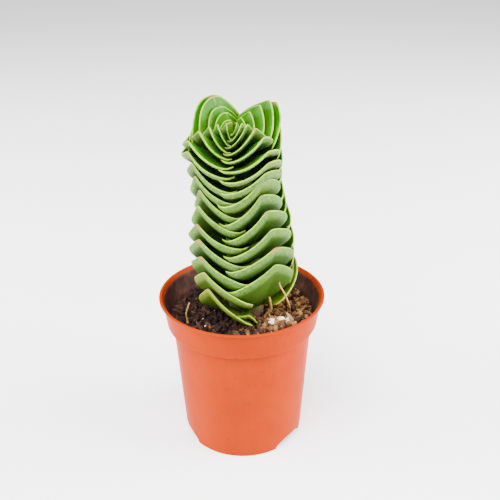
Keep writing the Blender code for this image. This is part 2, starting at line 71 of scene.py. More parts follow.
lens = bpy.data.cameras.new("camera")
lens.sensor_width = SENSOR
lens.sensor_fit = "HORIZONTAL"
lens.lens = SENSOR * FOCAL_PIXELS / FRAME_PIXELS
lens.clip_start = 0.01
camera = bpy.data.objects.new("camera", lens)
camera.location = Vector(CAMERA_AT) * MM
forward = Vector((0, math.cos(LOOK_DOWN), -math.sin(LOOK_DOWN)))
over = Vector((0, math.sin(LOOK_DOWN), math.cos(LOOK_DOWN)))
across = Vector((1, 0, 0))
level = across * math.cos(ROLL) + over * math.sin(ROLL)
upright = over * math.cos(ROLL) - across * math.sin(ROLL)
camera.rotation_euler = Matrix((level, upright, -forward)).transposed().to_euler()
bpy.context.scene.collection.objects.link(camera)
bpy.context.scene.camera = camera
print(f"camera: {lens.lens:.1f} mm lens")

# %% [markdown]
# ## Helpers for meshes
# Nearly every piece is a net of points that follows a rule, so one helper turns points and faces
# into an object. It can also carry numbers on the points, such as the distance from a leaf's edge,
# which the materials read to know where they are.


# %% Helpers for meshes
def mesh_piece(name, points, faces, finish, carried=None, second_finish=None):
    """An object from points in millimetres. carried holds a number for each point."""
    mesh = bpy.data.meshes.new(name)
    mesh.from_pydata((np.asarray(points, float) * MM).tolist(), [], faces)
    shape = bmesh.new()
    shape.from_mesh(mesh)
    bmesh.ops.recalc_face_normals(shape, faces=shape.faces)
    shape.to_mesh(mesh)
    shape.free()
    for label, values in (carried or {}).items():
        layer = mesh.attributes.new(label, "FLOAT", "POINT")
        layer.data.foreach_set("value", np.asarray(values, np.float32))
    mesh.materials.append(finish)
    if second_finish:
        mesh.materials.append(second_finish)
    mesh.shade_smooth()
    made = bpy.data.objects.new(name, mesh)
    bpy.context.scene.collection.objects.link(made)
    return made


def settle(piece, slot, *nodes):
    """Puts a piece on the pot's body and hides the nodes that it stands for. slot is not used."""
    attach(piece, "root")
    for name in nodes:
        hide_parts(name)
    print(f"{piece.name}: {len(piece.data.polygons)} faces")
    return piece


def around(azimuth, radius, height):
    """A point at an azimuth in degrees from the front."""
    turn = math.radians(azimuth)
    return Vector((radius * math.sin(turn), -radius * math.cos(turn), height))


def read_curve(rows, at, column):
    """A column of a table read at a value, on a smooth curve through its rows that adds no bumps."""
    if at <= rows[0][0] or len(rows) == 1:
        return rows[0][column]
    if at >= rows[-1][0]:
        return rows[-1][column]
    steps = [(b[0] - a[0], (b[column] - a[column]) / (b[0] - a[0])) for a, b in zip(rows, rows[1:])]
    i = max(n for n, row in enumerate(rows) if row[0] <= at)

    def slope(n):
        if n == 0 or n == len(rows) - 1:
            return steps[0][1] if n == 0 else steps[-1][1]
        (w0, s0), (w1, s1) = steps[n - 1], steps[n]
        return 0.0 if s0 * s1 <= 0 else (w0 + w1) * s0 * s1 / (w1 * s0 + w0 * s1)

    width = steps[i][0]
    u = (at - rows[i][0]) / width
    start, end = rows[i][column], rows[i + 1][column]
    return (
        (2 * u**3 - 3 * u**2 + 1) * start
        + (u**3 - 2 * u**2 + u) * width * slope(i)
        + (3 * u**2 - 2 * u**3) * end
        + (u**3 - u**2) * width * slope(i + 1)
    )


# %% [markdown]
# ## Helpers for materials
# Colours are written as the hex values that a picture editor shows and turned into the linear
# values that Blender mixes. One function adds a node with its settings and its links. Patterns are
# sized in millimetres, because that is how grain, meal and moulding marks are measured.


# %% Helpers for materials
def linear(code, alpha=1.0):
    """The linear colour of an sRGB hex value."""
    values = [int(code[i : i + 2], 16) / 255 for i in (1, 3, 5)]
    return (*(v / 12.92 if v <= 0.04045 else ((v + 0.055) / 1.055) ** 2.4 for v in values), alpha)


def add(tree, kind, inputs=None, **settings):
    """Adds a node. An input is a number, a colour or another node's output."""
    made = tree.nodes.new(kind)
    for name, value in settings.items():
        setattr(made, name, value)
    for name, value in (inputs or {}).items():
        if isinstance(value, bpy.types.NodeSocket):
            tree.links.new(value, made.inputs[name])
        else:
            made.inputs[name].default_value = value
    return made


def new_finish(name, **sockets):
    """A material with a Principled shader whose fixed values are set on its own sockets."""
    made = bpy.data.materials.new(name)
    made.use_nodes = True
    shader = made.node_tree.nodes["Principled BSDF"]
    for label, value in sockets.items():
        shader.inputs[label.replace("_", " ")].default_value = value
    return made, made.node_tree, shader


def carried(tree, label):
    """The number that a mesh carries on its points under this label."""
    return add(tree, "ShaderNodeAttribute", attribute_name=label).outputs["Fac"]


def grain(tree, size_mm, detail=3.0, stretch=(1, 1, 1), roughness=0.55):
    """Cloudy grain, with clouds about this many millimetres across, 0 to 1."""
    place = add(tree, "ShaderNodeTexCoord").outputs["Object"]
    if stretch != (1, 1, 1):
        place = add(tree, "ShaderNodeMapping", {"Vector": place, "Scale": stretch}).outputs["Vector"]
    sockets = {"Vector": place, "Scale": 1 / (size_mm * MM), "Detail": detail, "Roughness": roughness}
    return add(tree, "ShaderNodeTexNoise", sockets).outputs["Fac"]


def ramp(tree, value, stops):
    """Colours by hex at positions from 0 to 1."""
    made = add(tree, "ShaderNodeValToRGB", {"Fac": value})
    band = made.color_ramp
    while len(band.elements) < len(stops):
        band.elements.new(0.5)
    for element, (position, code) in zip(band.elements, stops):
        element.position = position
        element.color = linear(code)
    return made.outputs["Color"]


def blend(tree, share, first, second):
    """Mixes two colours: share 0 is the first."""
    made = add(tree, "ShaderNodeMix", {"Factor": share}, data_type="RGBA")
    for slot, value in ((6, first), (7, second)):
        if isinstance(value, bpy.types.NodeSocket):
            tree.links.new(value, made.inputs[slot])
        else:
            made.inputs[slot].default_value = linear(value)
    return made.outputs[2]


def fade(tree, value, low, high, to_low=0.0, to_high=1.0):
    """A number that runs smoothly from to_low to to_high as the value goes from low to high."""
    sockets = {"Value": value, "From Min": low, "From Max": high, "To Min": to_low, "To Max": to_high}
    return add(tree, "ShaderNodeMapRange", sockets, interpolation_type="SMOOTHSTEP").outputs["Result"]


def times(tree, first, second):
    return add(tree, "ShaderNodeMath", {0: first, 1: second}, operation="MULTIPLY").outputs["Value"]


def bump(tree, shader, height, depth_mm, strength=1.0):
    """Raises the surface by this many millimetres where the height is 1."""
    sockets = {"Height": height, "Distance": depth_mm * MM, "Strength": strength}
    tree.links.new(add(tree, "ShaderNodeBump", sockets).outputs["Normal"], shader.inputs["Normal"])


# %% [markdown]
# ## The leaf's skin
# A crassula leaf is a thick bag of water under a waxy skin. Inside the fold it is smooth, bright
# green and a little glossy. Outside it wears a mealy bloom of fine white scales, so it looks pale
# and dull. The edge is a thin light line where the flesh ends and light comes through. The oldest
# leaves at the foot turn yellow, and some tips dry to tan. One material does all of this from
# numbers that each leaf's mesh carries: distance from the edge, inside or outside, and age.

# %% Leaf finish
leaf_finish, tree, shader = new_finish(
    "crassula_leaf",
    IOR=1.42,
    Specular_IOR_Level=0.08,
    Subsurface_Weight=0.12,
    Subsurface_Scale=1.2 * MM,
    Subsurface_Radius=(0.6, 1.0, 0.25),
)
edge = carried(tree, "edge_mm")
inside = carried(tree, "inside")
age = carried(tree, "age")
tint = carried(tree, "tint")
clouds = grain(tree, 5.0)
mottle = grain(tree, 1.3, 4)
meal = grain(tree, 0.35, 2, roughness=0.7)

inner = ramp(tree, clouds, ((0.30, "#154c00"), (0.55, "#1f6200"), (0.75, "#457e04")))
# Painted shade: the inner face darkens away from the edge, deep in the fold, most on the lower leaves.
crevice_painted_shade = times(tree, fade(tree, edge, 0.6, 4.5), fade(tree, age, 0.55, 0.8, 0.9, 0.35))
inner = blend(tree, crevice_painted_shade, inner, "#0f2c00")
outer = ramp(tree, mottle, ((0.25, "#26420c"), (0.5, "#355812"), (0.75, "#486c22")))
outer = blend(tree, fade(tree, meal, 0.42, 0.66, 0.0, 0.5), outer, "#7a9259")
# Painted shade: the back darkens away from the edge, low on the blade where it turns under.
outer = blend(tree, fade(tree, edge, 1.2, 4.0, 0.0, 0.9), outer, "#122a04")
body = blend(tree, fade(tree, inside, 0.3, 0.7), outer, inner)
yellowed = times(tree, fade(tree, age, 0.02, 0.12, 0.75, 0.0), fade(tree, edge, 0.6, 3.0, 1.0, 0.35))
body = blend(tree, yellowed, body, "#62660c")
body = blend(tree, fade(tree, tint, 0.0, 1.0, 0.0, 0.2), body, "#46600c")
rim_line = fade(tree, edge, 0.1, 0.36, 1.0, 0.0)
body = blend(tree, times(tree, rim_line, fade(tree, mottle, 0.3, 0.6, 0.45, 0.9)), body, "#86ad2c")
dry = times(tree, carried(tree, "dry"), fade(tree, mottle, 0.35, 0.6, 0.5, 1.0))
body = blend(tree, dry, body, "#7d5a3a")
tree.links.new(body, shader.inputs["Base Color"])
tree.links.new(fade(tree, inside, 0.3, 0.7, 0.6, 0.28), shader.inputs["Roughness"])
bump(tree, shader, meal, 0.06)
print("leaf finish ready")

# %% [markdown]
# ## The leaves
# Leaves come in pairs, each pair a quarter turn from the last, so there are four ranks. A leaf is a
# folded blade: seen from the side its edge makes a roof with the ridge at the tip, and the blade
# hangs below that edge like half a cup. Its middle line is a curve from the stem, out to a bend and
# up to the edge. The tables say where each rank's leaves stand, and are the measured model's own.
# Each blade is a closed skin with a rounded edge, far finer than the solid that it stands for.

# %% Where the leaves are
STEM = (
    (26.5, 1.6, 5.0), (40, 1.5, 6.0), (55, 1.3, 6.0), (70, 0.8, 5.8), (82, 0.1, 5.4),
    (92, -1.0, 4.8), (99, -1.6, 3.8), (104, -1.8, 2.4), (106.5, -1.8, 1.0),
)
TILT = (
    (30, 0.03, 0.0), (60, 0.04, 0.0), (80, 0.10, 0.0), (90, 0.12, 0.07), (100, 0.0, 0.24),
    (112, -0.05, 0.25),
)
FRONT_LEFT = (
    (0, 47.8, -45, 16.0, 12.6), (2, 55.8, -44, 17.4, 11.2), (4, 63.3, -46, 17.7, 8.9),
    (8, 75.5, -46, 17.9, 8.4), (12, 85.2, -48, 14.3, 8.7), (16, 95.9, -51, 15.2, 7.7),
    (18, 101.0, -51, 16.7, 6.3), (20, 103.6, -52, 16.2, 6.4), (22, 104.8, -54, 12.2, 6.7),
    (24, 105.4, -56, 8.5, 6.2), (28, 106.8, -58, 2.6, 4.0),
)
FRONT_RIGHT = (
    (1, 52.5, 34, 17.0, 9.2), (3, 60.4, 33, 17.8, 9.0), (5, 67.7, 32, 18.6, 7.9), (9, 78.2, 29, 17.2, 8.4),
    (11, 83.3, 26, 16.5, 8.4), (13, 90.2, 28, 17.0, 6.9), (17, 100.2, 34, 18.0, 6.0),
    (19, 103.3, 36, 17.4, 6.0), (21, 104.9, 38, 14.4, 7.2), (23, 105.6, 38, 10.4, 7.4),
    (25, 106.2, 37, 6.8, 6.6), (29, 107.4, 36, 1.8, 3.6),
)
BACK_RIGHT = (
    (0, 52.4, 108, 17.4, 9.8), (2, 56.8, 128, 16.6, 8.8), (4, 63.3, 132, 17.0, 8.6),
    (8, 75.5, 131, 16.6, 8.4), (12, 85.2, 129, 15.0, 8.7), (16, 95.9, 128, 15.6, 9.0),
    (20, 103.0, 128, 16.2, 9.4), (22, 104.4, 128, 13.6, 9.3), (24, 105.4, 128, 9.8, 7.8),
    (26, 106.2, 128, 6.0, 5.8), (28, 107.0, 128, 2.8, 4.0),
)
BACK_LEFT = (
    (1, 54.5, -148, 16.0, 9.0), (5, 67.7, -148, 17.0, 8.4), (9, 78.2, -150, 16.4, 8.4),
    (13, 88.6, -150, 15.0, 8.8), (17, 98.6, -144, 13.6, 11.0), (19, 101.6, -140, 11.0, 13.8),
    (21, 103.1, -139, 9.4, 12.2), (23, 104.4, -139, 6.6, 8.6), (25, 105.5, -139, 3.6, 6.7),
    (27, 106.4, -139, 2.0, 3.9), (29, 107.4, -139, 1.2, 2.4),
)
CORNER = (
    (0, 14.6, 14.0, 14.6), (2, 15.0, 15.0, 15.0), (6, 15.8, 15.4, 15.8), (11, 13.7, 12.9, 13.7),
    (14, 14.1, 12.8, 14.1), (16, 14.4, 13.4, 14.0), (19, 14.8, 12.9, 12.6), (21, 13.0, 10.9, 10.2),
    (23, 10.8, 10.0, 7.6), (25, 8.4, 7.4, 5.8), (29, 3.2, 3.0, 2.6),
)
LEAVES = 30
HALF_SPAN = 53
LOW_SPAN = 65
SHORT_LEAF = ((0, 50.2, 2, 12.6, 1.0),)
SHORT_LEAF_SPAN = 14
CUP_DEPTH = ((0, 1.4), (1, 3.0), (2, 5.0), (3, 12.0), (5, 9.0), (8, 6.5), (29, 6.0))
LEFT_HALF = ((0, 1.0, 1.0), (3, 1.0, 1.1), (10, 1.0, 2.0), (20, 1.0, 1.9), (29, 1.0, 1.6))
RIGHT_HALF = ((0, 1.1, 1.0), (5, 1.2, 1.0), (10, 1.5, 1.0), (15, 1.3, 1.0), (19, 1.1, 1.1), (29, 1.0, 1.5))
BACK_LEFT_INNER = (
    (0, 1.0, 1.0), (3, 1.0, 1.1), (10, 1.0, 1.6), (15, 1.2, 1.2), (19, 1.9, 0.75), (29, 1.7, 0.7),
)
BACK_LEFT_OUTER = (
    (0, 1.0, 1.0), (3, 1.0, 1.1), (10, 1.0, 1.6), (15, 1.2, 1.2), (19, 2.6, 0.6), (29, 2.0, 0.55),
)
BACK_RIGHT_LEAF = (
    (0, 1.0, 1.0), (3, 1.0, 1.1), (10, 1.0, 2.0), (15, 1.0, 1.6), (19, 1.1, 0.85), (29, 1.1, 0.85),
)
RIGHT_DROP = (
    (3, 2.8), (5, 2.2), (9, 0.0), (11, 0.2), (13, 2.2), (15, 3.0), (17, 4.6), (19, 3.8), (21, 1.6),
    (25, 0.0),
)
FLARE = 2.2
RIGHT_FLARE = ((3, 1.8), (9, 1.6), (15, 1.0))
LEFT_FLARE = ((12, 2.2), (18, 1.0))
BAND = 0.9
MARGIN_SPACING = (2.2, 5.6)
ROOT_SUNK = 1.6
BLADE_AT_STEM = 2.2
BLADE_AT_MARGIN = 0.5


def read_stem(height):
    """Centre in X and radius of the stem at a height."""
    return read_curve(STEM, height, 1), read_curve(STEM, height, 2)


def leaf_settings(rank, number):
    """What one leaf's shape is worked out from."""
    height, azimuth, reach, rise = (read_curve(rank, number, column) for column in (1, 2, 3, 4))
    spacing = read_curve(rank, number + 1, 1) - read_curve(rank, number - 1, 1)
    maturity = min(1.0, reach / 12)
    left_half = {BACK_LEFT: BACK_LEFT_INNER, BACK_RIGHT: BACK_RIGHT_LEAF}.get(rank, LEFT_HALF)
    right_half = {BACK_LEFT: BACK_LEFT_OUTER, FRONT_RIGHT: RIGHT_HALF}.get(rank, left_half)
    at_right, at_left = (read_curve(flare, number, 1) for flare in (RIGHT_FLARE, LEFT_FLARE))
    return {
        "number": number,
        "height": height,
        "azimuth": azimuth,
        "reach": reach,
        "rise": rise,
        "span": LOW_SPAN if rank is BACK_RIGHT and number == 0 else HALF_SPAN,
        "corners": (
            read_curve(CORNER, number, 2 if rank is BACK_RIGHT else 1),
            read_curve(CORNER, number, {FRONT_RIGHT: 2, BACK_LEFT: 3}.get(rank, 1)),
        ),
        "flare": (
            {BACK_RIGHT: at_right, FRONT_LEFT: at_left}.get(rank, FLARE),
            {FRONT_RIGHT: at_right, BACK_LEFT: at_left}.get(rank, FLARE),
        ),
        "band": BAND * max(MARGIN_SPACING[0], min(spacing, MARGIN_SPACING[1])),
        "depth": read_curve(CUP_DEPTH, number, 1) * (0.45 + 0.55 * maturity),
        "root": max(0.5, min(read_stem(height)[1] - ROOT_SUNK, 0.4 * reach)),
        "halves": [
            [read_curve(half, number, column) for column in (1, 2)] for half in (left_half, right_half)
        ],
        "drop": read_curve(RIGHT_DROP, number, 1) if rank is FRONT_RIGHT else 0.0,
        "thick": 0.65 + 0.35 * maturity,
    }


def leaf_axes(height):
    """Origin, right, back and up of the leaf plane at a height."""
    up = Vector((-read_curve(TILT, height, 1), -read_curve(TILT, height, 2), 1)).normalized()
    right = Vector((0, 1, 0)).cross(up).normalized()
    return Vector((read_stem(height)[0], 0, height)), right, up.cross(right), up


# %% [markdown]
# ## One blade
# Real leaves are never quite alike, so each edge also waves a little, by a few sines with seeded
# phases. The blade is thick and juicy at the stem and thin at the edge, where it is rounded.

# %% One blade
ACROSS_STEPS = 65
ALONG_STEPS = 19
TIP_ROUND = 0.035
EDGE_ROUND = 0.3  # millimetres over which the edge is rounded
END_ROUND = 0.5
WAVE_UP = 0.16
WAVE_OUT = 0.22


def gentle_wave(places, draw):
    """A smooth random line through zero, about one high."""
    total = np.zeros_like(places)
    for pace in (2.3, 5.1, 9.7):
        total += np.sin(places * pace + draw.uniform(0, 2 * math.pi)) * draw.uniform(0.5, 1.0) * 2.3 / pace
    return total


def blade_skin(leaf, draw):
    """Points, faces and carried numbers of one leaf as a closed skin."""
    u = np.linspace(-1, 1, ACROSS_STEPS)[:, None]
    t = 1 - (1 - np.linspace(0, 1, ALONG_STEPS)[None, :]) ** 1.6
    side = (np.sqrt(u * u + TIP_ROUND**2) - TIP_ROUND) / (math.sqrt(1 + TIP_ROUND**2) - TIP_ROUND)
    right = u > 0
    crown, slope = (np.where(right, leaf["halves"][1][i], leaf["halves"][0][i]) for i in (0, 1))
    corner, flare = (np.where(right, leaf[label][1], leaf[label][0]) for label in ("corners", "flare"))
    size = min(1.0, leaf["reach"] / 14)
    radius = leaf["reach"] + (corner - leaf["reach"]) * side**flare + gentle_wave(u, draw) * WAVE_OUT * size
    lift = leaf["rise"] * (1 - side**crown) ** slope + 0.5 * np.clip((side - 0.85) / 0.15, 0, 1)
    lift = lift - right * leaf["drop"] * side**2 + gentle_wave(u, draw) * WAVE_UP * size
    band = leaf["band"] * (1 - 0.3 * side - 0.3 * side**4)

    start = np.stack(np.broadcast_arrays(leaf["root"] + 0 * u, -leaf["depth"] + 0 * u), -1)
    bend = np.stack((radius, lift - band), -1)
    end = np.stack((radius, lift), -1)
    k = t[..., None]
    middle = (1 - k) ** 2 * start + 2 * k * (1 - k) * bend + k**2 * end
    run = (1 - k) * (bend - start) + k * (end - bend)
    run /= np.linalg.norm(run, axis=-1, keepdims=True)
    normal = np.stack((-run[..., 1], run[..., 0]), -1)

    pieces = np.linalg.norm(np.diff(middle, axis=1), axis=-1)
    from_edge = np.concatenate((np.cumsum(pieces[:, ::-1], axis=1)[:, ::-1], np.zeros((len(u), 1))), axis=1)
    from_end = (1 - np.abs(u)) * math.radians(leaf["span"]) * radius
    thick = (BLADE_AT_STEM + (BLADE_AT_MARGIN - BLADE_AT_STEM) * t) * leaf["thick"] * (1 - 0.3 * side**2)
    for distance, reach in ((from_edge, EDGE_ROUND), (from_end, END_ROUND)):
        thick = thick * np.sqrt(np.clip(1 - (1 - np.clip(distance / reach, 0, 1)) ** 2, 0, 1))
    thick = thick * np.clip(t / 0.04, 0, 1)

    origin, to_right, to_back, up = (np.array(v) for v in leaf_axes(leaf["height"]))
    turn = np.radians(leaf["azimuth"] + leaf["span"] * u)
    points, index = [], []
    for face in (-1, 1):
        flat = middle + normal * (face * thick / 2)[..., None]
        out = flat[..., 0]
        place = (
            origin
            + (out * np.sin(turn))[..., None] * to_right
            - (out * np.cos(turn))[..., None] * to_back
            + flat[..., 1][..., None] * up
        )
        points.append(place.reshape(-1, 3))
    rows, columns = len(u), t.shape[1]
    outer_index = np.arange(rows * columns).reshape(rows, columns)
    inner_index = outer_index.copy()
    free = np.zeros((rows, columns), bool)
    free[1:-1, 1:-1] = True
    inner_index[free] = rows * columns + np.arange(free.sum())
    points = np.concatenate((points[0], points[1][free.reshape(-1)]))
    faces = []
    for grid, flip in ((outer_index, False), (inner_index, True)):
        corners = np.stack((grid[:-1, :-1], grid[1:, :-1], grid[1:, 1:], grid[:-1, 1:]), -1).reshape(-1, 4)
        faces.append(corners[:, ::-1] if flip else corners)

    tip = np.clip(1 - np.abs(u) / draw.uniform(0.06, 0.2), 0, 1)
    tip = tip * np.clip(1 - from_edge / draw.uniform(1.0, 3.0), 0, 1)
    end_dry = np.clip(1 - from_end / 1.2, 0, 1) * np.clip(1 - from_edge / 2.5, 0, 1)
    young = leaf["number"] > 22
    dryness = draw.choice((0.25, 0.6, 1.0, 1.4)) * (0.3 if young else 1.0)
    dry = np.clip(tip * dryness + end_dry * draw.choice((0.2, 0.5, 1.2)), 0, 1)
    both = {
        "edge_mm": from_edge,
        "dry": dry,
        "age": np.full_like(from_edge, leaf["number"] / LEAVES),
        "tint": np.full_like(from_edge, draw.random()),
    }
    carried_numbers = {label: np.concatenate((v.reshape(-1), v[free])) for label, v in both.items()}
    is_inside = np.zeros((rows, columns))
    is_inside[~free] = 0.5
    carried_numbers["inside"] = np.concatenate((is_inside.reshape(-1), np.ones(free.sum())))
    return points, np.concatenate(faces), carried_numbers


def join_skins(skins):
    """Several skins as one list of points, one of faces and one set of carried numbers."""
    points, faces, carried_numbers, count = [], [], {}, 0
    for place, corners, numbers in skins:
        points.append(place)
        faces.extend((corners + count).tolist())
        for label, values in numbers.items():
            carried_numbers.setdefault(label, []).append(values)
        count += len(place)
    return np.concatenate(points), faces, {label: np.concatenate(v) for label, v in carried_numbers.items()}


# %% Four ranks of leaves
RANKS = {
    "leaves_front_left": (FRONT_LEFT, range(0, LEAVES, 2)),
    "leaves_front_right": (FRONT_RIGHT, range(3, LEAVES, 2)),
    "leaves_back_right": (BACK_RIGHT, range(0, LEAVES, 2)),
    "leaves_back_left": (BACK_LEFT, range(1, LEAVES, 2)),
}
for seed, (name, (rank, numbers)) in enumerate(RANKS.items()):
    draw = random.Random(100 + seed)
    skins = [blade_skin(leaf_settings(rank, number), draw) for number in numbers]
    if rank is FRONT_LEFT:
        withered = leaf_settings(SHORT_LEAF, 0)
        withered.update(span=SHORT_LEAF_SPAN, corners=(12.4, 13.2), drop=2.6, band=2.4, depth=2.6)
        skins.append(blade_skin(withered, draw))
    points, faces, numbers = join_skins(skins)
    settle(mesh_piece(name, points, faces, leaf_finish, numbers), "leafy_stem", "leafy_stem")

# %% [markdown]
# ## The stem
# Hardly any of the stem shows: it is a stout green column, corky and brown where it meets the mix.

# %% Stem finish and stem
stem_finish, tree, shader = new_finish("crassula_stem", IOR=1.42, Roughness=0.6)
place = add(tree, "ShaderNodeTexCoord").outputs["Object"]
height = add(tree, "ShaderNodeSeparateXYZ", {0: place}).outputs["Z"]
flesh = ramp(tree, grain(tree, 2.0), ((0.3, "#33490f"), (0.7, "#5c6e22")))
cork = ramp(tree, grain(tree, 0.8), ((0.3, "#23160c"), (0.7, "#543b22")))
tree.links.new(blend(tree, fade(tree, height, 0.046, 0.054), cork, flesh), shader.inputs["Base Color"])
bump(tree, shader, grain(tree, 0.6), 0.15)

STEM_SIDES = 48
STEM_RINGS = 90


def stem_skin():
    low, high = STEM[0][0], STEM[-1][0]
    points, faces = [], []
    for ring in range(STEM_RINGS):
        z = low + (high - low) * ring / (STEM_RINGS - 1)
        x, radius = read_stem(z)
        for side in range(STEM_SIDES):
            rough = noise.noise(around(360 * side / STEM_SIDES, 6, z) / 1.6) * 0.2
            points.append(around(360 * side / STEM_SIDES, radius - 0.2 + rough, z) + Vector((x, 0, 0)))
    for ring in range(STEM_RINGS - 1):
        for side in range(STEM_SIDES):
            a, b = ring * STEM_SIDES + side, ring * STEM_SIDES + (side + 1) % STEM_SIDES
            faces.append((a, b, b + STEM_SIDES, a + STEM_SIDES))
    last = (STEM_RINGS - 1) * STEM_SIDES
    faces.append(list(range(STEM_SIDES))[::-1])
    faces.append(list(range(last, last + STEM_SIDES)))
    return [tuple(p) for p in points], faces


settle(mesh_piece("stem_column", *stem_skin(), stem_finish), "leafy_stem", "leafy_stem")

# %% [markdown]
# ## The pot
# Nursery pots are injection-moulded polypropylene: a thin wall with draft, a stiff band below the
# rim, a lip to grip, and a foot with notches that let water out. Polypropylene is slightly waxy,
# with a fine mould texture, and white surroundings show in it at a glance along the sides. Inside,
# the wall above the floor is given a dark brown finish. The section is turned once round the axis, then
# cut.

# %% Pot finish
pot_finish, tree, shader = new_finish("moulded_polypropylene", IOR=1.49, Specular_IOR_Level=0.012)
cloud = grain(tree, 9.0, 3)
streaks = grain(tree, 1.2, 2, stretch=(1, 1, 0.08))
specks = grain(tree, 0.8, 1, roughness=0.3)
colour = ramp(tree, cloud, ((0.3, "#832400"), (0.7, "#8a2800")))
colour = blend(tree, fade(tree, streaks, 0.45, 0.8, 0.0, 0.18), colour, "#933204")
colour = blend(tree, fade(tree, specks, 0.73, 0.80, 0.0, 0.7), colour, "#521c05")
tree.links.new(colour, shader.inputs["Base Color"])
tree.links.new(fade(tree, streaks, 0.3, 0.7, 0.36, 0.46), shader.inputs["Roughness"])
bump(tree, shader, grain(tree, 0.45, 3), 0.02)

inner_wall_finish, tree, shader = new_finish(
    "dark_inner_polypropylene", IOR=1.49, Roughness=0.75, Specular_IOR_Level=0.2
)
inner_wall_tone = ramp(tree, grain(tree, 3.0, 5), ((0.25, "#21130f"), (0.5, "#38201a"), (0.75, "#5a2f1e")))
tree.links.new(inner_wall_tone, shader.inputs["Base Color"])
bump(tree, shader, grain(tree, 0.6, 4), 0.1)
print("pot finishes ready")

# %% Pot section
RIM_RADIUS = 27.5
POT_HEIGHT = 52.5
BAND_TOP_RADIUS = 26.4
BAND_BOTTOM_RADIUS = 25.2
BAND_BOTTOM = 42.9
WALL_TOP_RADIUS = 23.3
WALL_TOP = 41.9
FOOT_RADIUS = 20.5
WALL = 0.8
FLOOR_UNDERSIDE = 4.2
NOTCH_AZIMUTHS = (52, 172, 292)
NOTCH_HALF_WIDTH = 6.8
NOTCH_HEIGHT = 3.0
DRAIN_RADIUS = 2.6
DRAIN_CIRCLE = 11.0
POT_STEPS = 180
FILLET_STEPS = 4

# Radius, height and the size of the rounding at each turn of the section, in millimetres
POT_SECTION = (
    (RIM_RADIUS, POT_HEIGHT, 0.22), (RIM_RADIUS, POT_HEIGHT - 0.5, 0.2),
    (BAND_TOP_RADIUS, POT_HEIGHT - 0.85, 0.3), (BAND_BOTTOM_RADIUS, BAND_BOTTOM, 0.45),
    (BAND_BOTTOM_RADIUS - 0.9, BAND_BOTTOM - 0.75, 0.5), (WALL_TOP_RADIUS, WALL_TOP, 0.5),
    (FOOT_RADIUS, 0.0, 0.3), (FOOT_RADIUS - WALL, 0.0, 0.1),
    (FOOT_RADIUS - WALL + 0.15, FLOOR_UNDERSIDE, 0.2), (0.0, FLOOR_UNDERSIDE, 0.0),
    (0.0, FLOOR_UNDERSIDE + WALL, 0.0), (FOOT_RADIUS - 0.6, FLOOR_UNDERSIDE + WALL, 0.5),
    (WALL_TOP_RADIUS - WALL, WALL_TOP - 0.2, 0.3), (WALL_TOP_RADIUS - WALL + 0.3, WALL_TOP + 0.6, 0.2),
    (BAND_BOTTOM_RADIUS - WALL, BAND_BOTTOM + 0.5, 0.3), (BAND_TOP_RADIUS - WALL, POT_HEIGHT - 1.4, 0.5),
    (RIM_RADIUS - 0.9, POT_HEIGHT, 0.15),
)


def rounded(section):
    """The section's points with each turn rounded by its own radius."""
    count = len(section)
    points = []
    for i, (x, z, size) in enumerate(section):
        here = Vector((x, z))
        before = (Vector(section[i - 1][:2]) - here).normalized()
        after = (Vector(section[(i + 1) % count][:2]) - here).normalized()
        if size == 0.0:
            points.append(here)
            continue
        for step in range(FILLET_STEPS + 1):
            k = step / FILLET_STEPS
            points.append(here + before * size * (1 - k) ** 2 + after * size * k**2)
    return points


def turned(profile, steps):
    """Points and faces of a closed section turned about Z. Points on the axis are shared."""
    points, index = [], []
    for x, z in profile:
        if x == 0.0:
            index.append([len(points)] * steps)
            points.append((0, 0, z))
        else:
            index.append(list(range(len(points), len(points) + steps)))
            points += [tuple(around(360 * side / steps, x, z)) for side in range(steps)]
    faces = []
    for upper, lower in zip(index, index[1:] + index[:1]):
        for side in range(steps):
            after = (side + 1) % steps
            corners = [upper[side], lower[side], lower[after], upper[after]]
            corners = [c for i, c in enumerate(corners) if c not in corners[:i]]
            if len(corners) > 2:
                faces.append(corners)
    return points, faces


def cut_away(piece, kind, azimuth):
    """Cuts a low arch across the foot ring, or a drain hole through the floor."""
    shape = bmesh.new()
    bmesh.ops.create_cone(shape, cap_ends=True, segments=64, radius1=1, radius2=1, depth=1)
    if kind == "notch":
        for corner in shape.verts:
            x, y, z = corner.co
            corner.co = Vector((z * 6, y * NOTCH_HALF_WIDTH, -x * NOTCH_HEIGHT)) * MM
        place = around(azimuth, FOOT_RADIUS, 0)
    else:
        bmesh.ops.scale(shape, vec=(DRAIN_RADIUS * MM, DRAIN_RADIUS * MM, 4 * MM), verts=shape.verts)
        place = around(azimuth, DRAIN_CIRCLE, FLOOR_UNDERSIDE + WALL / 2)
    mesh = bpy.data.meshes.new("cutter")
    shape.to_mesh(mesh)
    shape.free()
    cutter = bpy.data.objects.new("cutter", mesh)
    bpy.context.scene.collection.objects.link(cutter)
    cutter.location = place * MM
    cutter.rotation_euler.z = math.radians(azimuth - 90)
    cut = piece.modifiers.new("cut", "BOOLEAN")
    cut.operation = "DIFFERENCE"
    cut.object = cutter
    bpy.context.view_layer.update()
    graph = bpy.context.evaluated_depsgraph_get()
    piece.data = bpy.data.meshes.new_from_object(piece.evaluated_get(graph))
    piece.modifiers.clear()
    bpy.data.objects.remove(cutter, do_unlink=True)


wall = turned(rounded(POT_SECTION), POT_STEPS)
pot = mesh_piece("moulded_pot", *wall, pot_finish, second_finish=inner_wall_finish)
for azimuth in NOTCH_AZIMUTHS:
    cut_away(pot, "notch", azimuth)
    cut_away(pot, "drain", azimuth)
for face in pot.data.polygons:
    outward = Vector((face.center.x, face.center.y, 0)).normalized()
    above_floor = face.center.z > (FLOOR_UNDERSIDE + WALL / 2) * MM
    looks_in = face.normal.dot(outward) < -0.2 or face.normal.z > 0.8
    below_lip = face.center.z < (POT_HEIGHT - 0.8) * MM
    face.material_index = 1 if above_floor and looks_in and below_lip else 0
pot.data.shade_smooth()
pot.data.set_sharp_from_angle(angle=math.radians(40))
settle(pot, "pot", "pot")

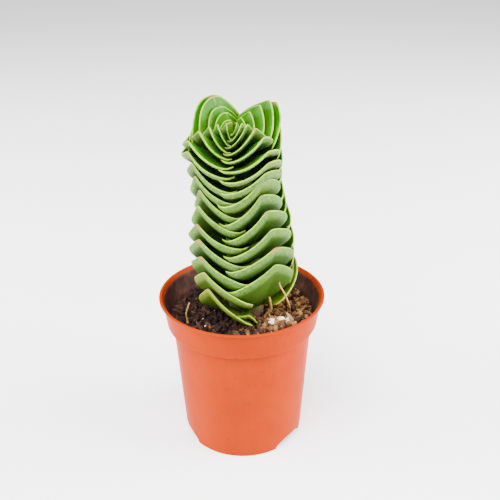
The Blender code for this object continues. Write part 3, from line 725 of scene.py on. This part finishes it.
# %% [markdown]
# ## The potting mix
# The mix is peat and composted bark with some perlite. One lumpy bed gives the ground its form, as
# in the measured model. On it lie loose crumbs, chips and fibres, each a small mesh of its own
# shape, because a bump alone would leave the surface smooth against the light.

# %% Mix finishes
bed_finish, tree, shader = new_finish("peat_bed", IOR=1.4, Roughness=0.95, Specular_IOR_Level=0.2)
tree.links.new(
    ramp(tree, grain(tree, 0.9, 6), ((0.25, "#170e0c"), (0.5, "#2b1b16"), (0.75, "#4d3322"))),
    shader.inputs["Base Color"],
)
bump(tree, shader, grain(tree, 0.7, 6), 0.5)

crumb_finish, tree, shader = new_finish("peat_and_bark", IOR=1.4, Roughness=0.9, Specular_IOR_Level=0.2)
shade = ramp(
    tree,
    carried(tree, "shade"),
    (
        (0.0, "#170e0c"), (0.3, "#33201b"), (0.5, "#5a3a28"),
        (0.7, "#7d5535"), (0.88, "#a67c48"), (1.0, "#cda869"),
    ),
)
shade = blend(tree, fade(tree, grain(tree, 0.4, 4), 0.3, 0.7, 0.0, 0.35), shade, "#20140f")
tree.links.new(shade, shader.inputs["Base Color"])
bump(tree, shader, grain(tree, 0.25, 4), 0.12)

perlite_finish, tree, shader = new_finish(
    "perlite", IOR=1.5, Roughness=0.85, Subsurface_Weight=0.15, Subsurface_Scale=0.6 * MM
)
white = ramp(tree, grain(tree, 0.9, 4), ((0.25, "#c99a5e"), (0.42, "#ecd3a8"), (0.6, "#fbf3e2")))
tree.links.new(white, shader.inputs["Base Color"])
bump(tree, shader, grain(tree, 0.35, 4), 0.15)
print("mix finishes ready")

# %% Mix bed
MIX_TOP = 43.6
MIX_RISE_TO_RIGHT = 0.045
MIX_LUMP = 1.9
MIX_LUMP_SIZE = 3.8
MOUND = (10.0, -7.5, 6.5, 1.5)
MIX_EDGE = 44.0
MIX_LEDGE = (19.0, 23.0)
GAP = 0.3
BED_RINGS = 110
BED_SIDES = 260


def mix_height(x, y):
    """The lumpy top of the mix, the same rule as in the measured model."""
    lump = noise.noise(Vector((x, y, 0)) / MIX_LUMP_SIZE)
    far = math.hypot(x - MOUND[0], y - MOUND[1]) / MOUND[2]
    height = MIX_TOP + MIX_RISE_TO_RIGHT * x + MIX_LUMP * lump + MOUND[3] * math.exp(-far * far)
    start, end = MIX_LEDGE
    out = min(1.0, max(0.0, (math.hypot(x, y) - start) / (end - start)))
    return height + (max(height, MIX_EDGE) - height) * out * out * (3 - 2 * out)


def bed_height(x, y):
    """The same ground with its fine crumbs added."""
    place = Vector((x, y, 7.0))
    return mix_height(x, y) + 0.45 * noise.noise(place / 1.1) + 0.2 * noise.noise(place / 0.45)


top_radius = BAND_BOTTOM_RADIUS - WALL - 2 * GAP
neck_radius = WALL_TOP_RADIUS - WALL - 1.8 * GAP
bottom_radius = FOOT_RADIUS - 0.6 - 2 * GAP
bed_floor = FLOOR_UNDERSIDE + WALL + GAP
points, faces = [(0, 0, bed_height(0, 0))], []
for ring in range(1, BED_RINGS + 1):
    for side in range(BED_SIDES):
        spot = around(360 * side / BED_SIDES, top_radius * ring / BED_RINGS, 0)
        points.append((spot.x, spot.y, bed_height(spot.x, spot.y)))
for radius, height in ((neck_radius, WALL_TOP), (bottom_radius, bed_floor)):
    points += [tuple(around(360 * side / BED_SIDES, radius, height)) for side in range(BED_SIDES)]
for side in range(BED_SIDES):
    after = (side + 1) % BED_SIDES
    faces.append((0, 1 + side, 1 + after))
    for ring in range(BED_RINGS + 1):
        a, b = 1 + ring * BED_SIDES, 1 + (ring + 1) * BED_SIDES
        faces.append((a + side, b + side, b + after, a + after))
last = 1 + (BED_RINGS + 1) * BED_SIDES
faces.append([last + side for side in range(BED_SIDES)])
settle(mesh_piece("mix_bed", points, faces, bed_finish), "potting_mix", "potting_mix")

# %% [markdown]
# ## Crumbs, chips and fibres
# Each crumb is a small ball pushed out of shape by noise, stretched and turned at random, with a
# shade of its own. The draws are seeded, so the ground is the same each time.

# %% Crumbs, chips and fibres
STEM_CLEAR = 6.0
LOOSE_RADIUS = 23.2
FACETS = 5  # flat places on a broken crumb


def ball_shape(fineness):
    shape = bmesh.new()
    bmesh.ops.create_icosphere(shape, subdivisions=fineness, radius=1)
    points = np.array([v.co[:] for v in shape.verts])
    faces = np.array([[v.index for v in f.verts] for f in shape.faces])
    shape.free()
    return points, faces


def random_turn(draw):
    axis = Vector([draw.uniform(-1, 1) for _ in range(3)])
    axis = axis if axis.length > 0.1 else Vector((0, 0, 1))
    return np.array(Matrix.Rotation(draw.uniform(0, 2 * math.pi), 3, axis))


def ground_spot(draw):
    """A random place on the mix, off the stem."""
    while True:
        x, y = draw.uniform(-LOOSE_RADIUS, LOOSE_RADIUS), draw.uniform(-LOOSE_RADIUS, LOOSE_RADIUS)
        if math.hypot(x, y) < LOOSE_RADIUS and math.hypot(x - STEM[1][1], y) > STEM_CLEAR:
            return x, y


def tone_at(x, tone):
    """A crumb's tone: paler towards the right of the pot and darker towards the left."""
    towards_right = min(1.0, max(0.0, (x + 9) / 18))
    return tone ** (2.2 - 1.6 * towards_right) * (0.6 + 0.4 * towards_right)


def scatter(name, count, fineness, sizes, proportions, finish, seed, shades, slot, sink=0.1):
    """Crumbs on the mix: sizes are half widths in millimetres, shades the range of their colours."""
    draw = random.Random(seed)
    ball, ball_faces = ball_shape(fineness)
    skins = []
    for _ in range(count):
        x, y = ground_spot(draw)
        size = draw.uniform(sizes[0] ** 0.5, sizes[1] ** 0.5) ** 2
        offset = Vector((draw.uniform(0, 99), draw.uniform(0, 99), 0))
        rough = np.array([1 + 0.45 * noise.noise(Vector(p) * 1.4 + offset) for p in ball])
        shape = ball * rough[:, None]
        for _ in range(FACETS):
            facing = np.array(Vector([draw.gauss(0, 1) for _ in range(3)]).normalized())
            shape -= np.clip(shape @ facing - draw.uniform(0.45, 0.8), 0, None)[:, None] * facing
        shape = shape * np.array([size * draw.uniform(*p) for p in proportions])
        shape = shape @ random_turn(draw).T
        lowest = -shape[:, 2].min()
        shape += np.array((x, y, bed_height(x, y) + lowest * (1 - sink) - sink * size))
        skins.append((shape, ball_faces, {"shade": np.full(len(ball), tone_at(x, draw.uniform(*shades)))}))
    points, faces, numbers = join_skins(skins)
    return settle(mesh_piece(name, points, faces, finish, numbers), slot)


ROUND = ((0.8, 1.2), (0.8, 1.2), (0.6, 1.0))
CHIP = ((1.4, 2.4), (0.6, 1.0), (0.25, 0.5))
scatter("bark_crumbs", 1150, 2, (0.45, 1.25), ROUND, crumb_finish, 11, (0.0, 0.85), "potting_mix")
scatter("peat_crumbs", 2600, 1, (0.18, 0.5), ROUND, crumb_finish, 12, (0.0, 1.0), "potting_mix")
scatter("bark_chips", 300, 2, (0.5, 1.3), CHIP, crumb_finish, 13, (0.3, 1.0), "potting_mix")
scatter("perlite_specks", 40, 2, (0.2, 0.5), ROUND, perlite_finish, 14, (0.0, 1.0), "perlite")


def tube_skin(path, radii, sides, flat=1.0):
    """A closed round tube along points, in millimetres; flat squashes it one way."""
    path = [Vector(p) for p in path]
    points, faces = [], []
    for i, place in enumerate(path):
        run = (path[min(i + 1, len(path) - 1)] - path[max(i - 1, 0)]).normalized()
        first = run.cross(Vector((0.3, 1, 0.2))).normalized()
        second = run.cross(first)
        for side in range(sides):
            turn = 2 * math.pi * side / sides
            points.append(place + (first * math.cos(turn) + second * math.sin(turn) * flat) * radii[i])
    for i in range(len(path) - 1):
        for side in range(sides):
            a, b = i * sides + side, i * sides + (side + 1) % sides
            faces.append((a, b, b + sides, a + sides))
    ends = [path[0], path[-1]]
    for which, end in enumerate(ends):
        centre = len(points)
        points.append(end)
        base = which * (len(path) - 1) * sides
        for side in range(sides):
            faces.append((centre, base + side, base + (side + 1) % sides))
    return np.array([tuple(p) for p in points]), faces


def smooth_path(knots, steps=10):
    """Points on a smooth curve through the knots."""
    knots = [Vector(k) for k in knots]
    out = []
    for i in range(len(knots) - 1):
        before, a = knots[max(i - 1, 0)], knots[i]
        b, after = knots[i + 1], knots[min(i + 2, len(knots) - 1)]
        for step in range(steps):
            k = step / steps
            out.append(0.5 * (2 * a + (b - before) * k + (2 * before - 5 * a + 4 * b - after) * k**2
                              + (3 * a - before - 3 * b + after) * k**3))
    return out + [knots[-1]]


FIBRES = 200
draw = random.Random(21)
skins = []
for _ in range(FIBRES):
    x, y = ground_spot(draw)
    heading, length = draw.uniform(0, 2 * math.pi), draw.uniform(1.5, 5.0)
    knots = []
    for step in range(4):
        if math.hypot(x, y) < LOOSE_RADIUS:
            knots.append((x, y, bed_height(x, y) + draw.uniform(0.1, 0.8)))
        heading += draw.uniform(-0.6, 0.6)
        x, y = x + math.cos(heading) * length / 3, y + math.sin(heading) * length / 3
    if len(knots) > 2:
        path = smooth_path(knots, 4)
        place, corners = tube_skin(path, [draw.uniform(0.06, 0.16)] * len(path), 6)
        skins.append((place, corners, tone_at(x, draw.uniform(0.45, 1.0))))
points, faces, shades, count = [], [], [], 0
for place, corners, tone in skins:
    points.append(place)
    faces += [tuple(c + count for c in corner) for corner in corners]
    shades += [tone] * len(place)
    count += len(place)
fibres = mesh_piece("loose_fibres", np.concatenate(points), faces, crumb_finish, {"shade": shades})
settle(fibres, "potting_mix")

# %% [markdown]
# ## Perlite
# Perlite is glass popped by heat: light, white and foamy, and stained cream by the peat.

# %% Perlite grains
PERLITE_GRAINS = 5
ball, ball_faces = ball_shape(4)
for number in range(PERLITE_GRAINS):
    low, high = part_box(f"perlite_grain_{number + 1}")
    centre = (low + high) / 2 / MM
    half = (high - low) / 2 / MM
    offset = Vector((number * 7.3, 0, 0))
    swell = [noise.noise(Vector(p) * 1.6 + offset) for p in ball]
    froth = [noise.noise(Vector(p) * 5 + offset) for p in ball]
    rough = 0.92 + 0.3 * np.array(swell) + 0.12 * np.array(froth)
    points = ball * rough[:, None] * np.array(half) + np.array(centre)
    piece = mesh_piece(f"popped_perlite_{number + 1}", points, ball_faces.tolist(), perlite_finish)
    settle(piece, "perlite", f"perlite_grain_{number + 1}")

# %% [markdown]
# ## Straws
# Dry bits of grass and root stand in the mix. Dry plant fibre is dull and streaked along its length.
# The thick stub is still yellow-green at its foot.

# %% Straws
straw_finish, tree, shader = new_finish("dry_straw", IOR=1.45, Roughness=0.7)
along = grain(tree, 0.5, 4, stretch=(1, 1, 0.25))
tone = ramp(tree, along, ((0.25, "#6b4a20"), (0.5, "#a87f3c"), (0.75, "#cfa860")))
tone = blend(tree, fade(tree, carried(tree, "foot"), 0.0, 1.0), tone, "#878a14")
tree.links.new(tone, shader.inputs["Base Color"])
bump(tree, shader, grain(tree, 0.2, 2, stretch=(1, 1, 0.1)), 0.05)

STRAWS = {
    "straw_stub": (
        0.5, 0.75,
        (
            (8.1, -5.2, 42.0), (7.8, -5.7, 45.0), (8.0, -6.1, 47.2), (9.3, -7.9, 49.8),
            (9.5, -8.9, 51.4), (9.2, -10.1, 53.8), (8.9, -11.2, 56.6),
        ),
    ),
    "straw_stalk": (
        0.35, 1.0,
        (
            (-18.0, -4.9, 40.6), (-18.1, -5.2, 44.6), (-18.4, -5.4, 46.6), (-18.2, -5.5, 48.2),
            (-17.1, -5.6, 51.6),
        ),
    ),
    "root_fibre": (
        0.3, 1.0,
        (
            (16.4, -0.6, 42.0), (16.0, -2.0, 46.6), (15.6, -5.6, 50.0), (15.15, -9.0, 53.0),
            (13.7, -10.5, 57.4), (12.15, -11.8, 61.0), (11.9, -13.2, 62.9),
        ),
    ),
}
for name, (radius, flat, knots) in STRAWS.items():
    path = smooth_path(knots, 12)
    count = len(path)
    radii = [radius * (1.0 - 0.35 * i / count) * (1 + 0.08 * math.sin(i * 1.7)) for i in range(count)]
    place, corners = tube_skin(path, radii, 14, flat)
    foot = np.clip((47.0 - place[:, 2]) / 3, 0, 1) * (1.0 if name == "straw_stub" else 0.0)
    settle(mesh_piece("dry_" + name, place, corners, straw_finish, {"foot": foot}), "straw", name)

CHIP_CENTRE = (19.6, 2.4, 45.3)
CHIP_SIZE = (6.0, 1.4, 1.0)
CHIP_TURN = -8.0
place = np.sign(ball) * np.abs(ball) ** 0.45 * np.array(CHIP_SIZE) * 0.47
place = place * np.array([0.9 + 0.2 * noise.noise(Vector(p) * 2.5) for p in ball])[:, None]
turn = Matrix.Rotation(math.radians(CHIP_TURN), 3, "Z") @ Matrix.Rotation(math.radians(3), 3, "Y")
place = place @ np.array(turn).T + np.array(CHIP_CENTRE)
chip = mesh_piece("bark_splinter", place, ball_faces.tolist(), straw_finish, {"foot": np.zeros(len(place))})
settle(chip, "straw", "wood_splinter")

# %% [markdown]
# ## Floor and light
# The pot stands on white paper in a bright, even room: white all round, a large soft light above
# and to the left, and hardly any shadow. The floor is a plain pale sheet.

# %% Floor and light
floor_finish, tree, shader = new_finish("white_paper", Roughness=0.9)
shader.inputs["Base Color"].default_value = linear("#fafafa")
shader.inputs["Specular IOR Level"].default_value = 0.1
side = 3000
sheet = ((-side, -side, 0), (side, -side, 0), (side, side, 0), (-side, side, 0))
floor = mesh_piece("floor", sheet, [(0, 1, 2, 3)], floor_finish)

world = bpy.data.worlds.new("white_room")
world.use_nodes = True
world.node_tree.nodes["Background"].inputs["Color"].default_value = linear("#ffffff")
world.node_tree.nodes["Background"].inputs["Strength"].default_value = 1.3
bpy.context.scene.world = world

LIGHTS = (
    # name, where it stands and what it faces in metres, width in metres, watts
    ("left_panel", (-0.7, -0.1, 0.25), (0, 0, 0.06), 0.6, 22.0),
    ("right_panel", (0.7, -0.05, 0.25), (0, 0, 0.06), 0.6, 32.0),
    ("window", (-0.15, -0.4, 0.7), (0, 0, 0.08), 0.5, 19.0),
)
for name, place, target, width, watts in LIGHTS:
    glow = bpy.data.lights.new(name, "AREA")
    glow.size = width
    glow.energy = watts
    lamp = bpy.data.objects.new(name, glow)
    lamp.location = place
    lamp.rotation_euler = (Vector(target) - Vector(place)).to_track_quat("-Z", "Y").to_euler()
    bpy.context.scene.collection.objects.link(lamp)
print("floor and lights ready")
